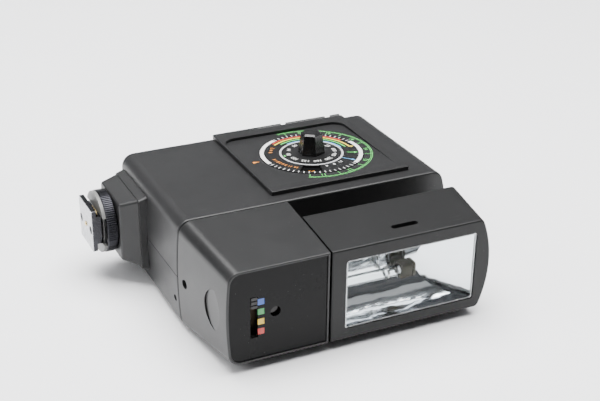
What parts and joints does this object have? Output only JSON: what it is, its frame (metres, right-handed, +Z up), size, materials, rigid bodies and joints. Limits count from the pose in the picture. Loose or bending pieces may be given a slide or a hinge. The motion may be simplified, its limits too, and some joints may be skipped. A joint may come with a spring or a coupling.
{
  "type": "camera speedlight flash",
  "caption": "Shoe-mount electronic flash with a turning sensor turret, tilting lamp head, exposure calculator dial, battery door and a knurled lock wheel on its foot.",
  "frame": {"origin": "centre of the footprint on the surface that the flash lies on", "axes": "+X from the shoe foot to the far end, -Y towards the subject, +Z up through the calculator dial"},
  "size_m": [0.1422, 0.111, 0.0585],
  "materials": {
    "casing_black": "fine satin grain",
    "panel_black": "satin",
    "gloss_black": "polished",
    "turret_black": "satin gloss",
    "head_black": "fine satin grain",
    "inner_black": "plain moulding",
    "window_clear": "clear, faintly moulded",
    "tube_glass": "clear",
    "reflector_metal": "bright anodised sheet",
    "electrode_metal": "bare",
    "holder_amber": "silicone",
    "spring_steel": "bright",
    "screw_steel": "blackened",
    "dial_black": "satin, printed scales",
    "dial_plate": "black anodised, printed",
    "knob_black": "satin gloss",
    "foot_metal": "satin",
    "brass": "bare",
    "wheel_black": "black anodised, knurled",
    "plate_grey": "satin",
    "shoe_black": "fine satin grain",
    "marks_paint": "four printed colours",
    "sensor_clear": "tinted lens",
    "board_brown": "phenolic board",
    "component_black": "moulded",
    "capacitor_sleeve": "shrink sleeve",
    "winding": "taped winding",
    "cell_jacket": "printed jacket",
    "contact_metal": "nickel plated",
    "insulator_white": "moulded",
    "lamp_orange": "translucent",
    "neon_glass": "clear",
    "button_grey": "satin",
    "switch_black": "ribbed",
    "socket_metal": "bright"
  },
  "bodies": {
    "body": {"lower_shell": "casing_black", "upper_shell": "casing_black", "casing_screws": "screw_steel", "door_hinge_pin": "spring_steel", "battery_box": "inner_black", "battery_contacts": "contact_metal", "battery_cells": "cell_jacket", "battery_springs": "spring_steel", "dial_panel": "panel_black", "film_speed_plate": "dial_plate", "shoe_base": "shoe_black", "shoe_collar": "shoe_black", "base_screws": "screw_steel", "foot": "foot_metal", "foot_screws": "screw_steel", "pin_insulator": "insulator_white", "ground_spring": "brass", "stud_nut": "contact_metal", "control_board": "board_brown", "ready_lamp": "lamp_orange", "neon_lamp": "neon_glass", "button_spring": "spring_steel", "sync_socket": "socket_metal", "main_board": "board_brown", "main_capacitor": "capacitor_sleeve", "transformer": "winding", "thyristor": "component_black", "small_capacitors": "capacitor_sleeve"},
    "turret": {"turret_shell": "turret_black", "turret_screw": "screw_steel", "turret_front_panel": "gloss_black", "colour_marks": "marks_paint", "sensor_lens": "sensor_clear", "light_sensor": "component_black", "sensor_board": "board_brown", "turret_back_plate": "inner_black", "turret_retainer": "contact_metal", "click_washer": "spring_steel"},
    "head": {"head_shell": "head_black", "head_rear_cover": "head_black", "window_lens": "window_clear", "reflector": "reflector_metal", "flash_tube": "tube_glass", "tube_electrodes": "electrode_metal", "tube_holder": "holder_amber", "trigger_clip": "spring_steel", "trigger_board": "board_brown", "trigger_coil": "winding", "head_pivot": "inner_black", "head_retainer": "spring_steel"},
    "dial": {"dial_disc": "dial_black", "dial_knob": "knob_black", "dial_clip": "spring_steel"},
    "selector": {"aperture_selector": "switch_black"},
    "switch": {"power_switch": "switch_black"},
    "button": {"test_button": "button_grey"},
    "pin": {"contact_pin": "brass"},
    "door": {"battery_door": "casing_black"},
    "plate": {"pressure_plate": "plate_grey"},
    "wheel": {"lock_wheel": "wheel_black"}
  },
  "joints": [
    {"name": "turret_turn", "type": "hinge", "parent": "body", "child": "turret", "pos_m": [-0.0273, -0.016, 0.0237], "axis": [0, 1, 0], "range_deg": [-90, 90]},
    {"name": "head_turn", "type": "hinge", "parent": "turret", "child": "head", "pos_m": [-0.005, -0.0465, 0.0237], "axis": [1, 0, 0], "range_deg": [-90, 180]},
    {"name": "dial_turn", "type": "hinge", "parent": "body", "child": "dial", "pos_m": [0.0242, 0.0199, 0.04872], "axis": [0, 0.0229, 0.9997], "range_deg": [-90, 90]},
    {"name": "selector_slide", "type": "slide", "parent": "turret", "child": "selector", "axis": [0, 0, 1], "range_m": [-0.0126, 0]},
    {"name": "switch_slide", "type": "slide", "parent": "body", "child": "switch", "axis": [0, 0, 1], "range_m": [0, 0.005]},
    {"name": "button_press", "type": "slide", "parent": "body", "child": "button", "axis": [0, -1, 0], "range_m": [0, 0.0012], "stiffness_N_per_m": 800, "springref_m": -0.0005, "deforming": ["button_spring"]},
    {"name": "pin_press", "type": "slide", "parent": "body", "child": "pin", "axis": [1, 0, 0], "range_m": [0, 0.0004], "stiffness_N_per_m": 600, "springref_m": -0.0004},
    {"name": "door_swing", "type": "hinge", "parent": "body", "child": "door", "pos_m": [0.03, 0.0542, 0.048], "axis": [1, 0, 0], "range_deg": [0, 110]},
    {"name": "clamp_slide", "type": "slide", "parent": "body", "child": "plate", "axis": [-1, 0, 0], "range_m": [0, 0.0006]},
    {"name": "wheel_turn", "type": "hinge", "parent": "plate", "child": "wheel", "pos_m": [-0.0628, 0.0408, 0.0248], "axis": [1, 0, 0], "range_deg": [0, 360]}
  ],
  "couplings": [
    {"joint": "clamp_slide", "follows": "wheel_turn", "m_per_rad": 0.000095493}
  ]
}
